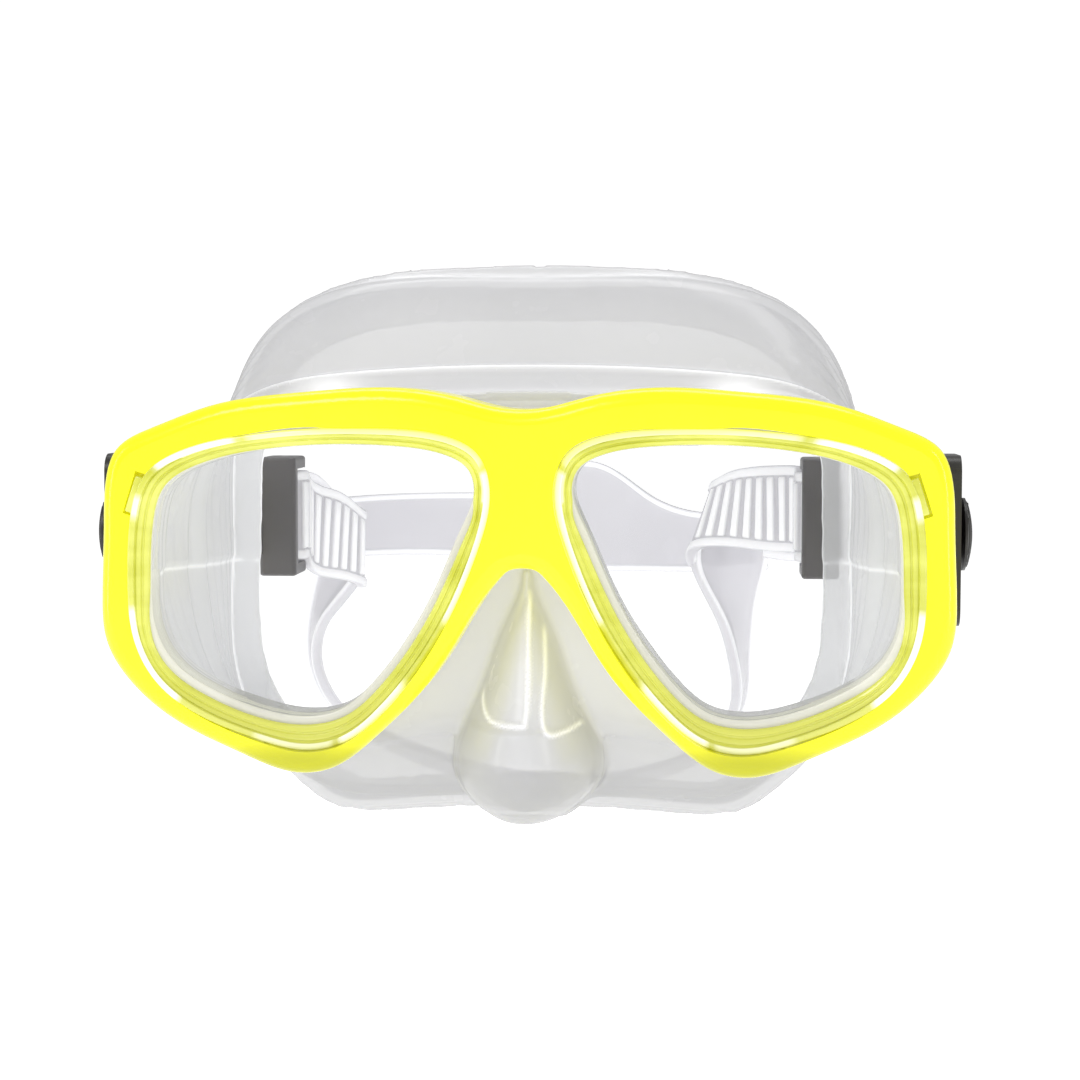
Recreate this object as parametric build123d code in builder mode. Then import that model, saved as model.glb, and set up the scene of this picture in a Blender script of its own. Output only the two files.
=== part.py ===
"""Two-window snorkel mask with a soft skirt, swivel buckles and a split head strap.

The origin is the middle of the face opening, at the seal. +X is to the right of someone who
faces the windows, +Y runs from the windows to the head, +Z is up. Lengths are millimetres.
Every side piece is designed on the +X side and mirrored for the -X side.
"""

import os
from math import cos, hypot, radians, sin

from build123d import *

# ---- driving dimensions -------------------------------------------------------------
LENS_Y = -38.0  # front face of the glass
LENS_THICK = 3.2
LENS_GRIP = 1.6  # how far the glass reaches past the clear window
LIP = 0.8  # silicone lip in front of the glass edge and beside it

FRAME_FRONT = LENS_Y - 5.4  # crest of the nose bridge
FRAME_BACK = LENS_Y + 11.0
FRAME_CROWN_R = 620.0  # the frame's front bows back towards the sides
FRAME_EDGE_R = 3.0

RING_FRONT = LENS_Y - 2.2
RING_BACK = LENS_Y + 6.0
RING_GAP = 0.12  # seam between ring and frame
TAB_SIZE = (7.4, 2.0)
TAB_SLOT = (8.6, 3.0)
TAB_DEPTH = 4.5

SKIRT_WALL = 1.9
SKIRT_FRONT = FRAME_BACK + 0.4
SKIRT_FOLD = LENS_Y + 26.0
FACE_R = 270.0  # the seal bows back towards the temples
FACE_TILT = 4.0  # degrees: the upper lip sits further forward than the forehead
SEAL_WIDTH = 8.5  # inner sealing edge, measured in from the skirt's rim

HUB_Y = LENS_Y + 21.0  # swivel axis of both buckles, along X
HUB_Z = 8.0
PLATE_OUT = 84.3  # outer face of the side plate
PLATE_THICK = 3.3
PLATE_HEIGHT = 33.4
PLATE_LENGTH = 19.6
RECESS = 1.8  # the hub disc lies in this recess of the side plate
TONGUE_R = 9.7  # the plate ends in a round tongue behind the hub, clear of the swinging arm
TONGUE_START = HUB_Y + 4.5
HUB_R = 8.0
POST_R = 4.0
RUNNING = 0.05  # radial clearance of a pin that turns in its bore
SWING_STOP = 32.0  # degrees each way, where the arm meets the side plate

ARM_THICK = 1.5
NECK_HEIGHT = 13.0  # the arm inside the side plate's recess
ARM_HEIGHT = 16.6
KNEE = (PLATE_OUT - 0.95, HUB_Y + 12.0)  # where the buckle's arm bends inwards, in plan
ROLLER = (60.0, LENS_Y + 78.0)  # strap roller, in plan
ROLLER_R = 2.6
AXLE_R = 1.1
BUCKLE_HEIGHT = 26.4
RAIL = 2.6
BAR_WIDTH = 8.2
BAR_DEPTH = 4.0
BUCKLE_EDGE_R = 0.7

LEVER_THICK = 1.6
LEVER_HEIGHT = 12.0
LEVER_PIN_R = 0.8
LEVER_PIN_AT = 11.0  # along the arm, from the knee
LEVER_PIN_OFF = 2.9  # out from the middle of the arm
LEVER_BOSS_R = 1.8
PAD_R = 7.2
PAD_IN = 85.4
PAD_OUT = 87.1

STRAP_THICK = 2.4
STRAP_WIDTH = 20.0
STRAP_CLEAR = 0.3  # between the strap and the roller
RIB_ROOM = 1.1  # between the strap and the buckle's bar, for the ribs
BAND_WIDTH = 15.5


# ---- planes and outlines ------------------------------------------------------------
def front(y):
    """The X-Z plane at y; its normal points to the front."""
    return Plane.XZ.offset(-y)


# Right half of the frame, from the dip over the nose, round the lobe, to the nose arch.
FRAME_EDGE = [
    (0, 32.9), (12, 35.2), (24, 37.0), (42, 36.2), (60, 33.7), (72, 29.4), (79.6, 24.9),
    (81.6, 19.5), (82.2, 10), (82.7, -4), (81.9, -12.4), (77.5, -19.8), (67.5, -28.0),
    (54.6, -34.0), (44, -37.4), (37.5, -36.6), (28.4, -30.2), (17.1, -18.4), (11.8, -10.2),
    (7.0, -2.6), (4.1, 0.9), (0, 2.6),
]
# Clear edge of the right window.
WINDOW_EDGE = [
    (36, 26.1), (24, 25.7), (14.8, 24.0), (10.6, 21.3), (9.5, 17.4), (11.7, 10.7), (16.8, -1),
    (22.8, -11.6), (30, -20.7), (35.4, -25.0), (41.5, -26.4), (49, -25.6), (60.5, -21.2),
    (68.2, -15.6), (71.4, -9.4), (72.1, 0), (71.4, 11.5), (69.2, 17.9), (63.2, 21.9), (50, 25.1),
]
# Seam between the frame and the right lens ring.
SEAM_EDGE = [
    (38, 29.4), (26, 29.3), (15.2, 28.1), (8.4, 24.6), (6.0, 18.0), (8.0, 7), (13.6, -6.5),
    (19.2, -16), (27, -25.6), (34.6, -31.4), (42, -33.0), (51, -31.2), (62.5, -26.6),
    (71.2, -20.0), (75.6, -11.6), (76.7, 0), (76.0, 12.2), (73.2, 20.2), (65.5, 25.2), (52, 28.3),
]
# Right half of the skirt's outer wall behind the frame, at its fold and at its rim.
SKIRT_AT_FRAME = [
    (0, 36.4), (40, 34.6), (66, 27.4), (75.8, 12), (76.0, -5), (69, -21), (44, -34), (0, -28),
]
SKIRT_AT_FOLD = [
    (0, 41.0), (38, 39.6), (60, 33.5), (70, 18), (70.5, -4), (65, -24), (48, -41), (0, -45.5),
]
SKIRT_AT_RIM = [
    (0, 58.6), (34, 56.4), (56, 47.2), (66, 27), (66.8, -2), (62.5, -31), (47, -48.6), (0, -50.6),
]
# Nose pocket: height, half width, front.
NOSE_LEVELS = [
    (1.4, 2.4, LENS_Y + 8), (-8, 5.4, LENS_Y + 3.5), (-19, 9.8, LENS_Y - 2),
    (-29, 14.2, LENS_Y - 6), (-37, 16.4, LENS_Y - 7), (-43, 14.0, LENS_Y - 5),
    (-47.4, 8.5, LENS_Y + 1),
]
NOSE_BACK = LENS_Y + 27.0


def window_sketch(points, grow=0.0):
    """A closed smooth outline, each of its points moved outwards by grow."""
    middle = (sum(x for x, z in points) / len(points), sum(z for x, z in points) / len(points))
    moved = []
    for i, (x, z) in enumerate(points):
        before, after = points[i - 1], points[(i + 1) % len(points)]
        run_x, run_z = after[0] - before[0], after[1] - before[1]
        step = grow / hypot(run_x, run_z)
        if run_z * (x - middle[0]) - run_x * (z - middle[1]) < 0:
            step = -step
        moved.append((x + step * run_z, z - step * run_x))
    with BuildSketch(mode=Mode.PRIVATE) as outline:
        with BuildLine():
            Spline(*moved, periodic=True)
        make_face()
    return outline.sketch


def half_outline(points, inset=0.0):
    """A face from the right half of an outline and its mirror image, moved inwards by inset."""
    moved = []
    for x, z in points:
        far = hypot(x, z)
        moved.append((x - inset * x / far, z - inset * z / far))
    with BuildSketch(mode=Mode.PRIVATE) as outline:
        with BuildLine():
            Spline(*moved, tangents=((1, 0), (-1, 0)))
            mirror(about=Plane.YZ)
        make_face()
    return outline.sketch


def snap_tabs(side, size, depth, mode):
    """Blocks on the seam of one ring, where its snap tabs sit."""
    for x, z, turn in ((53.6, -30.6, 22), (12.4, -4.2, -64), (75.0, 16.4, -72)):
        with BuildSketch(front(RING_FRONT)) as tab:
            with Locations((side * x, z)):
                Rectangle(*size, rotation=side * turn)
        extrude(tab.sketch, amount=-depth, mode=mode)


def save(piece, name):
    """Label one piece and write it."""
    piece.part.label = name
    export_step(piece.part, f"parts/{name}.step")


def save_pair(piece, name):
    """Write a right-hand piece and its mirror image."""
    save(piece, f"{name}_right")
    with BuildPart() as mirrored:
        add(mirror(piece.part, about=Plane.YZ, mode=Mode.PRIVATE))
    save(mirrored, f"{name}_left")


os.makedirs("parts", exist_ok=True)

# ---- main frame ---------------------------------------------------------------------
LUG_OUT = PLATE_OUT - PLATE_THICK
LUG_THICK = 3.1
LUG_HEIGHT = 26.0
LUG_FRONT = FRAME_BACK - 4
LUG_BACK = HUB_Y + 8.5

with BuildPart() as main_frame:
    with BuildSketch(front(FRAME_FRONT)):
        add(half_outline(FRAME_EDGE))
    extrude(amount=FRAME_FRONT - FRAME_BACK)
    with BuildSketch(Plane.XY.offset(-60)):
        with Locations((0, FRAME_FRONT + FRAME_CROWN_R)):
            Circle(FRAME_CROWN_R)
    extrude(amount=120, mode=Mode.INTERSECT)
    fillet(faces().sort_by(Axis.Y)[0].outer_wire().edges(), FRAME_EDGE_R)
    for side in (1, -1):
        with BuildSketch(front(FRAME_FRONT - 1)):
            add(window_sketch([(side * x, z) for x, z in SEAM_EDGE]))
        extrude(amount=-30, mode=Mode.SUBTRACT)
        snap_tabs(side, TAB_SLOT, TAB_DEPTH, Mode.SUBTRACT)
        lug_plane = Plane.YZ.offset(LUG_OUT if side == 1 else LUG_THICK - LUG_OUT)
        with BuildSketch(lug_plane):
            with Locations(((LUG_FRONT + LUG_BACK) / 2, HUB_Z)):
                Rectangle(LUG_BACK - LUG_FRONT, LUG_HEIGHT)
            with Locations((HUB_Y, HUB_Z)):
                Circle(POST_R, mode=Mode.SUBTRACT)
        extrude(amount=-LUG_THICK)
save(main_frame, "main_frame")

# ---- lenses and the rings that hold them --------------------------------------------
with BuildPart() as lens:
    with BuildSketch(front(LENS_Y)):
        add(window_sketch(WINDOW_EDGE, LENS_GRIP))
    extrude(amount=-LENS_THICK)
    chamfer(faces().sort_by(Axis.Y)[0].outer_wire().edges(), 0.4)
save_pair(lens, "lens")

CUP_GROW = LENS_GRIP + LIP  # outside of the silicone cup round the glass
with BuildPart() as lens_ring:
    with BuildSketch(front(RING_FRONT)):
        add(window_sketch(SEAM_EDGE, -RING_GAP))
    extrude(amount=RING_FRONT - RING_BACK)
    with BuildSketch(front(LENS_Y - LIP)):
        add(window_sketch(WINDOW_EDGE, CUP_GROW))
    extrude(amount=-20, mode=Mode.SUBTRACT)
    with BuildSketch(front(RING_FRONT)):
        add(window_sketch(WINDOW_EDGE, 0.9))
    extrude(amount=-20, mode=Mode.SUBTRACT)
    snap_tabs(1, TAB_SIZE, TAB_DEPTH, Mode.ADD)
save_pair(lens_ring, "lens_ring")

# ---- skirt --------------------------------------------------------------------------
SHELL_END = 14.0  # the shell is lofted past the seal and then cut to it


def skirt_loft(inset):
    """The skirt's wall as a solid: its outside, or its hollow when inset is given."""
    levels = (
        (SKIRT_FRONT + inset, SKIRT_AT_FRAME, inset), (SKIRT_FOLD, SKIRT_AT_FOLD, inset),
        (0, SKIRT_AT_RIM, inset), (SHELL_END, SKIRT_AT_RIM, inset - 2),
    )
    with BuildPart() as shell:
        for y, points, inwards in levels:
            with BuildSketch(front(y)):
                add(half_outline(points, inwards))
        loft()
    return shell.part


def nose_loft(inset):
    """The nose pocket, pointed at the arch and wide at the nostrils."""
    top, base = NOSE_LEVELS[0][0], NOSE_LEVELS[-1][0]
    with BuildPart() as pocket:
        for z, half_width, tip in NOSE_LEVELS:
            level = z - inset * (z - (top + base) / 2) / ((top - base) / 2)
            with BuildSketch(Plane.XY.offset(level)):
                with Locations((0, NOSE_BACK)):
                    Ellipse(half_width - inset, NOSE_BACK - tip - inset)
                with Locations((0, NOSE_BACK)):
                    Rectangle(60, 60, align=(Align.CENTER, Align.MIN), mode=Mode.SUBTRACT)
        loft()
    return pocket.part


def behind_face(ahead):
    """Everything behind the curved surface that lies ahead of the seal."""
    axis = Plane.XY.rotated((-FACE_TILT, 0, 0))
    with BuildPart() as block:
        with BuildSketch(axis.offset(-150)):
            with Locations((0, FACE_R - ahead)):
                Circle(FACE_R)
        extrude(amount=300)
    return block.part


with BuildPart() as hollow:
    add(skirt_loft(SKIRT_WALL))
    add(nose_loft(SKIRT_WALL))
    add(behind_face(SKIRT_WALL), mode=Mode.SUBTRACT)

with BuildPart() as opening:
    with BuildSketch(front(-20)):
        add(half_outline(SKIRT_AT_RIM, SEAL_WIDTH))
    extrude(amount=-50)
    add(behind_face(SKIRT_WALL + 0.2), mode=Mode.INTERSECT)

with BuildPart() as skirt:
    add(skirt_loft(0))
    add(nose_loft(0))
    add(behind_face(0), mode=Mode.SUBTRACT)
    add(hollow.part, mode=Mode.SUBTRACT)
    add(opening.part, mode=Mode.SUBTRACT)
    for side in (1, -1):
        window = [(side * x, z) for x, z in WINDOW_EDGE]
        with BuildSketch(front(LENS_Y - LIP)):
            add(window_sketch(window, CUP_GROW))
        extrude(amount=LENS_Y - LIP - SKIRT_FRONT - 0.5)
        with BuildSketch(front(LENS_Y - 5)):
            add(window_sketch(window))
        extrude(amount=-24, mode=Mode.SUBTRACT)
        with BuildSketch(front(LENS_Y)):
            add(window_sketch(window, LENS_GRIP))
        extrude(amount=-LENS_THICK, mode=Mode.SUBTRACT)
save(skirt, "skirt")

# ---- side plates and the posts the buckles swivel on ---------------------------------
PLATE_FRONT = FRAME_BACK + 0.2
PLATE_MID_Z = 7.1
DISC_IN = PLATE_OUT - RECESS + 0.1
DISC_OUT = PLATE_OUT - 0.2
HEAD_R = 5.6
HEAD_THICK = 0.6

stop = radians(SWING_STOP)
neck_room = NECK_HEIGHT / 2 + 0.3
notch = []
for reach, up in ((0, 1), (22, 1), (22, -1), (0, -1)):
    y = reach * cos(stop) - neck_room * sin(stop)
    z = reach * sin(stop) + neck_room * cos(stop)
    notch.append((HUB_Y + y, HUB_Z + up * z))

with BuildPart() as side_plate:
    with BuildSketch(Plane.YZ.offset(PLATE_OUT)):
        with Locations((PLATE_FRONT + PLATE_LENGTH / 2, PLATE_MID_Z)):
            RectangleRounded(PLATE_LENGTH, PLATE_HEIGHT, 3.5)
        with Locations((TONGUE_START, HUB_Z)):
            Rectangle(40, 60, align=(Align.MIN, Align.CENTER), mode=Mode.SUBTRACT)
        with Locations((HUB_Y, HUB_Z)):
            Circle(TONGUE_R)
    extrude(amount=-PLATE_THICK)
    with BuildSketch(Plane.YZ.offset(PLATE_OUT)):
        with Locations((HUB_Y, HUB_Z)):
            Circle(HUB_R + 0.3)
        with BuildLine():
            Polyline(*notch, close=True)
        make_face()
    extrude(amount=-RECESS, mode=Mode.SUBTRACT)
    with BuildSketch(Plane.YZ.offset(PLATE_OUT)):
        with Locations((HUB_Y, HUB_Z)):
            Circle(POST_R)
    extrude(amount=-10, mode=Mode.SUBTRACT)
save_pair(side_plate, "side_plate")

with BuildPart() as swivel_post:
    for x0, x1, r in (
        (LUG_OUT - LUG_THICK - 0.8, LUG_OUT - LUG_THICK, POST_R + 1),
        (LUG_OUT - LUG_THICK, DISC_OUT - HEAD_THICK, POST_R),
        (DISC_OUT - HEAD_THICK, DISC_OUT, HEAD_R),
    ):
        with BuildSketch(Plane.YZ.offset(x0)):
            with Locations((HUB_Y, HUB_Z)):
                Circle(r)
        extrude(amount=x1 - x0)
save_pair(swivel_post, "swivel_post")

# ---- buckle body: hub disc, arm, bar and rails ----------------------------------------
BAR_BACK = ROLLER[1] - ROLLER_R - STRAP_CLEAR - STRAP_THICK - RIB_ROOM
BAR_FRONT = BAR_BACK - BAR_DEPTH
ARM_END = (ROLLER[0] + BAR_WIDTH / 2 - 0.6, BAR_FRONT + 1.2)
run = (ARM_END[0] - KNEE[0], ARM_END[1] - KNEE[1])
arm_length = hypot(*run)
along = (run[0] / arm_length, run[1] / arm_length)
outward = (along[1], -along[0])
PIN_AT = (
    KNEE[0] + LEVER_PIN_AT * along[0] + LEVER_PIN_OFF * outward[0],
    KNEE[1] + LEVER_PIN_AT * along[1] + LEVER_PIN_OFF * outward[1],
)
EAR_IN = LEVER_HEIGHT / 2 + 0.3
EAR_OUT = ARM_HEIGHT / 2


def plan_strip(points, width, z0, z1):
    """A strip that follows points in plan, from z0 to z1."""
    with BuildSketch(Plane.XY.offset(z0)) as strip:
        with BuildLine():
            Polyline(*points)
        trace(line_width=width)
    extrude(strip.sketch, amount=z1 - z0)


tall_start = (KNEE[0] + 6 * along[0], KNEE[1] + 6 * along[1])
ear_root = (PIN_AT[0] - LEVER_PIN_OFF * outward[0], PIN_AT[1] - LEVER_PIN_OFF * outward[1])
with BuildPart() as buckle_body:
    with BuildSketch(Plane.YZ.offset(DISC_IN)):
        with Locations((HUB_Y, HUB_Z)):
            Circle(HUB_R)
    extrude(amount=DISC_OUT - DISC_IN)
    for path, height in (
        ([(KNEE[0], HUB_Y), KNEE, ARM_END], NECK_HEIGHT), ([tall_start, ARM_END], ARM_HEIGHT),
    ):
        plan_strip(path, ARM_THICK, HUB_Z - height / 2, HUB_Z + height / 2)
    with BuildSketch(Plane.XY.offset(HUB_Z - BUCKLE_HEIGHT / 2)):
        with Locations((ROLLER[0], (BAR_FRONT + BAR_BACK) / 2)):
            RectangleRounded(BAR_WIDTH, BAR_DEPTH, 1.0)
    extrude(amount=BUCKLE_HEIGHT)
    rail_length = ROLLER[1] + 4.5 - BAR_FRONT - 1
    for z in (HUB_Z - BUCKLE_HEIGHT / 2, HUB_Z + BUCKLE_HEIGHT / 2 - RAIL):
        with BuildSketch(Plane.XY.offset(z)):
            with Locations((ROLLER[0], BAR_FRONT + 1 + rail_length / 2)):
                RectangleRounded(BAR_WIDTH, rail_length, 2.0)
            with Locations(ROLLER):
                Circle(AXLE_R, mode=Mode.SUBTRACT)
        extrude(amount=RAIL)
    for end in (0, -1):
        fillet(faces().sort_by(Axis.Z)[end].outer_wire().edges(), BUCKLE_EDGE_R)
    for z in (HUB_Z - EAR_OUT, HUB_Z + EAR_IN):
        with BuildSketch(Plane.XY.offset(z)):
            with BuildLine():
                Line(PIN_AT, ear_root)
            trace(line_width=4)
            with Locations(PIN_AT):
                Circle(2)
                Circle(LEVER_PIN_R, mode=Mode.SUBTRACT)
        extrude(amount=EAR_OUT - EAR_IN)
    with BuildSketch(Plane.YZ.offset(DISC_OUT)):
        with Locations((HUB_Y, HUB_Z)):
            Circle(HEAD_R + 0.1)
    extrude(amount=-HEAD_THICK - 0.05, mode=Mode.SUBTRACT)
    with BuildSketch(Plane.YZ.offset(DISC_OUT)):
        with Locations((HUB_Y, HUB_Z)):
            Circle(POST_R + RUNNING)
    extrude(amount=-4, mode=Mode.SUBTRACT)
save_pair(buckle_body, "buckle_body")

# ---- release lever, its pin and its spring --------------------------------------------
LEVER_KNEE = (PAD_IN + LEVER_THICK / 2, KNEE[1] + 1.4)
STRAP_OUT = ROLLER[0] + ROLLER_R + STRAP_CLEAR + STRAP_THICK
LEVER_END = (STRAP_OUT + 2.3, ROLLER[1] + 1)
TOOTH_TIP = STRAP_OUT + 0.35
COIL_HALF = 2.6
COIL_WIRE = 0.26

dome_foot = PAD_IN + 0.5
dome_r = (PAD_R**2 + (PAD_OUT - dome_foot) ** 2) / (2 * (PAD_OUT - dome_foot))
dome_half = (PAD_OUT - dome_r + (dome_r**2 - PAD_R**2 / 4) ** 0.5, HUB_Y + PAD_R / 2)

with BuildPart() as release_lever:
    path = [(LEVER_KNEE[0], HUB_Y + 3), LEVER_KNEE, LEVER_END]
    plan_strip(path, LEVER_THICK, HUB_Z - LEVER_HEIGHT / 2, HUB_Z + LEVER_HEIGHT / 2)
    with BuildSketch(Plane.XY.offset(HUB_Z)):
        with BuildLine():
            Polyline(
                (PAD_OUT, HUB_Y), (PAD_IN, HUB_Y), (PAD_IN, HUB_Y + PAD_R), (dome_foot, HUB_Y + PAD_R),
            )
            ThreePointArc((dome_foot, HUB_Y + PAD_R), dome_half, (PAD_OUT, HUB_Y))
        make_face()
    revolve(axis=Axis((0, HUB_Y, HUB_Z), (1, 0, 0)))
    with BuildSketch(Plane.XY.offset(HUB_Z - LEVER_HEIGHT / 2)):
        with BuildLine():
            Polyline(
                (LEVER_END[0], LEVER_END[1] - 2.6), (TOOTH_TIP, LEVER_END[1] - 0.9),
                (TOOTH_TIP, LEVER_END[1] - 0.5), (LEVER_END[0], LEVER_END[1]), close=True,
            )
        make_face()
    extrude(amount=LEVER_HEIGHT)
    with BuildSketch(Plane.XY.offset(HUB_Z - LEVER_HEIGHT / 2)):
        with Locations(PIN_AT):
            Circle(LEVER_BOSS_R)
    extrude(amount=LEVER_HEIGHT)
    with BuildSketch(Plane.XY.offset(HUB_Z - COIL_HALF)):
        with Locations(PIN_AT):
            Circle(LEVER_BOSS_R + 0.15)
    extrude(amount=2 * COIL_HALF, mode=Mode.SUBTRACT)
    with BuildSketch(Plane.XY.offset(HUB_Z - LEVER_HEIGHT / 2)):
        with Locations(PIN_AT):
            Circle(LEVER_PIN_R + RUNNING)
    extrude(amount=LEVER_HEIGHT, mode=Mode.SUBTRACT)
save_pair(release_lever, "release_lever")

with BuildPart() as lever_pin:
    with BuildSketch(Plane.XY.offset(HUB_Z - EAR_OUT)):
        with Locations(PIN_AT):
            Circle(LEVER_PIN_R)
    extrude(amount=2 * EAR_OUT)
save_pair(lever_pin, "lever_pin")

with BuildPart() as lever_spring:
    turns = int((COIL_HALF - 0.2) / COIL_WIRE)
    with BuildSketch(Plane.XZ.offset(-PIN_AT[1])):
        for turn in range(turns):
            z = HUB_Z + (2 * turn - turns + 1) * COIL_WIRE * 0.96
            with Locations((PIN_AT[0] + LEVER_PIN_R + 0.12 + COIL_WIRE, z)):
                Circle(COIL_WIRE)
    revolve(axis=Axis((PIN_AT[0], PIN_AT[1], 0), (0, 0, 1)))
save_pair(lever_spring, "lever_spring")

# ---- strap roller and its axle ---------------------------------------------------------
ROLLER_HALF = BUCKLE_HEIGHT / 2 - RAIL - 0.3
with BuildPart() as strap_roller:
    with BuildSketch(Plane.XY.offset(HUB_Z - ROLLER_HALF)):
        with Locations(ROLLER):
            Circle(ROLLER_R)
            Circle(AXLE_R + RUNNING, mode=Mode.SUBTRACT)
    extrude(amount=2 * ROLLER_HALF)
save_pair(strap_roller, "strap_roller")

with BuildPart() as roller_axle:
    with BuildSketch(Plane.XY.offset(HUB_Z - BUCKLE_HEIGHT / 2)):
        with Locations(ROLLER):
            Circle(AXLE_R)
    extrude(amount=BUCKLE_HEIGHT)
save_pair(roller_axle, "roller_axle")

# ---- split strap ------------------------------------------------------------------------
WRAP_R = ROLLER_R + STRAP_CLEAR + STRAP_THICK / 2
FORK_Y = 58.0  # where the ribbed ends divide into the two bands


def end_route(side, fold, bulge, back):
    """Route in plan of one end of the strap, from its tail round the roller to the back."""
    x, y = ROLLER
    wrap = WRAP_R - 0.01
    points = [
        (side * (x + WRAP_R + 0.6), y + 24), (side * (x + WRAP_R), y - WRAP_R),
        (side * (x - WRAP_R), y - WRAP_R), (side * (x - WRAP_R), y + 6), fold, bulge, back,
    ]
    return points, [wrap, wrap, 5, 5, 15, 15]


right_points, right_radii = end_route(1, (36, FORK_Y), (50, 84), (37, 111))
left_points, left_radii = end_route(-1, (-45, FORK_Y - 2), (-60, 80), (-45, 109))
BACK_MIDDLE = (5, 120)
route = right_points + [BACK_MIDDLE] + left_points[::-1]
radii = right_radii + [60] + left_radii[::-1]

UPPER_BAND = (-7.0, 8.5)
HEAD_PAD = (30.0, 14.3)
HEAD_PAD_Z = 3.8
LOWER_FRONT = 64.0
LOWER_ROUTE = [(43.4, 6), (43.4, -22), (37, -46), (4, -62), (-46, -48), (-58.4, -22), (-58.4, 6)]
LOWER_RADII = [40, 24, 60, 24, 40]


def strap_wall(z0, z1):
    """The strap's whole route in plan as a wall."""
    with BuildPart() as wall:
        with BuildSketch(Plane.XY.offset(z0)):
            with BuildLine():
                FilletPolyline(*route, radius=radii)
            trace(line_width=STRAP_THICK)
        extrude(amount=z1 - z0)
    return wall.part


with BuildPart() as ends:
    add(strap_wall(HUB_Z - STRAP_WIDTH / 2, HUB_Z + STRAP_WIDTH / 2))
    with BuildSketch(Plane.XY.offset(-80)):
        with Locations((0, FORK_Y + 4)):
            Rectangle(400, 200, align=(Align.CENTER, Align.MIN))
        with Locations((ROLLER[0] + WRAP_R + 3, FORK_Y), (-ROLLER[0] - WRAP_R - 3, FORK_Y)):
            Rectangle(7, 40, mode=Mode.SUBTRACT)
    extrude(amount=160, mode=Mode.SUBTRACT)

with BuildPart() as pad:
    add(strap_wall(HEAD_PAD_Z - HEAD_PAD[1], HEAD_PAD_Z + HEAD_PAD[1]))
    with BuildSketch(front(BACK_MIDDLE[1] - 25)):
        with Locations((BACK_MIDDLE[0], HEAD_PAD_Z)):
            Ellipse(*HEAD_PAD)
    extrude(amount=-50, mode=Mode.INTERSECT)

with BuildPart() as strap:
    add(strap_wall(*UPPER_BAND))
    with BuildSketch(Plane.XY.offset(-80)):
        Rectangle(400, 2 * FORK_Y - 4)
        with Locations((ROLLER[0] + WRAP_R + 3, FORK_Y), (-ROLLER[0] - WRAP_R - 3, FORK_Y)):
            Rectangle(7, 40)
    extrude(amount=160, mode=Mode.SUBTRACT)
    add(ends.part)
    add(pad.part)
    with BuildSketch(front(LOWER_FRONT)):
        with BuildLine():
            FilletPolyline(*LOWER_ROUTE, radius=LOWER_RADII)
        trace(line_width=STRAP_THICK)
    extrude(amount=-BAND_WIDTH)
save(strap, "strap")
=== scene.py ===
"""The snorkel mask's looks: soft skirt, strap, lens rings, materials, light and camera.

Shapes are worked out in millimetres, in the same frame as the CAD, and become metres when a mesh
is made. +X is to the viewer's right, +Y runs from the windows to the head, +Z is up.
"""

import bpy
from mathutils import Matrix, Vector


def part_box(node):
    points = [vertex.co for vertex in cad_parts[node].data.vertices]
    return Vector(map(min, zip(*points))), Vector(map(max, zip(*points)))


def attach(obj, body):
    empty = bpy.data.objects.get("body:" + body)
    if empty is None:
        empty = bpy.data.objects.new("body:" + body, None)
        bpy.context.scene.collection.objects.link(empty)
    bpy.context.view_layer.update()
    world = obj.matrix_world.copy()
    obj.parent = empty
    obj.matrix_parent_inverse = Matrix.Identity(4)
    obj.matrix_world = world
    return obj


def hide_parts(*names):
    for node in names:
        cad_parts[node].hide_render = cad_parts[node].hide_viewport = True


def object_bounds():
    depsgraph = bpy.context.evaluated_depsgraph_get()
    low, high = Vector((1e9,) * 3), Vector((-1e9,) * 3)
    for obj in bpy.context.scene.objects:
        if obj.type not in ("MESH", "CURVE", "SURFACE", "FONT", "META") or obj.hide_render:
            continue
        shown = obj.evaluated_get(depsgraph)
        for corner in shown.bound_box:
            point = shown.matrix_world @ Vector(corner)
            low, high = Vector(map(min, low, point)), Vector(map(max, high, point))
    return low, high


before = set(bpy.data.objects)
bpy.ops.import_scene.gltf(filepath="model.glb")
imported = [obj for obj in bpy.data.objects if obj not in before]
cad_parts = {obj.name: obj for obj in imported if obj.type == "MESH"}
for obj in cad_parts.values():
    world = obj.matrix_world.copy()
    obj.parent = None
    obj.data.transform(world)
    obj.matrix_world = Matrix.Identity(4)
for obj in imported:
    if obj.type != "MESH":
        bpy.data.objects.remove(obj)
cad_box = [list(corner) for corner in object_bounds()]

from math import cos, pi, radians, sin, tau

import bmesh
import bpy
import numpy as np
from mathutils import Matrix, Vector

MM = 0.001
SIDES = (("right", 1), ("left", -1))

# ---- places taken from the frame ------------------------------------------------------
LENS_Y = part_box("lens_right")[0].y / MM
FRAME_BACK = LENS_Y + 11.0
HUB_Z = 8.0  # height of the buckles' swivel line
ROLLER_LOW, ROLLER_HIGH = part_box("strap_roller_right")
ROLLER = tuple((ROLLER_LOW[i] + ROLLER_HIGH[i]) / 2 / MM for i in (0, 1))
STRAP_CENTRE_Z = (ROLLER_LOW.z + ROLLER_HIGH.z) / 2 / MM

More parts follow.
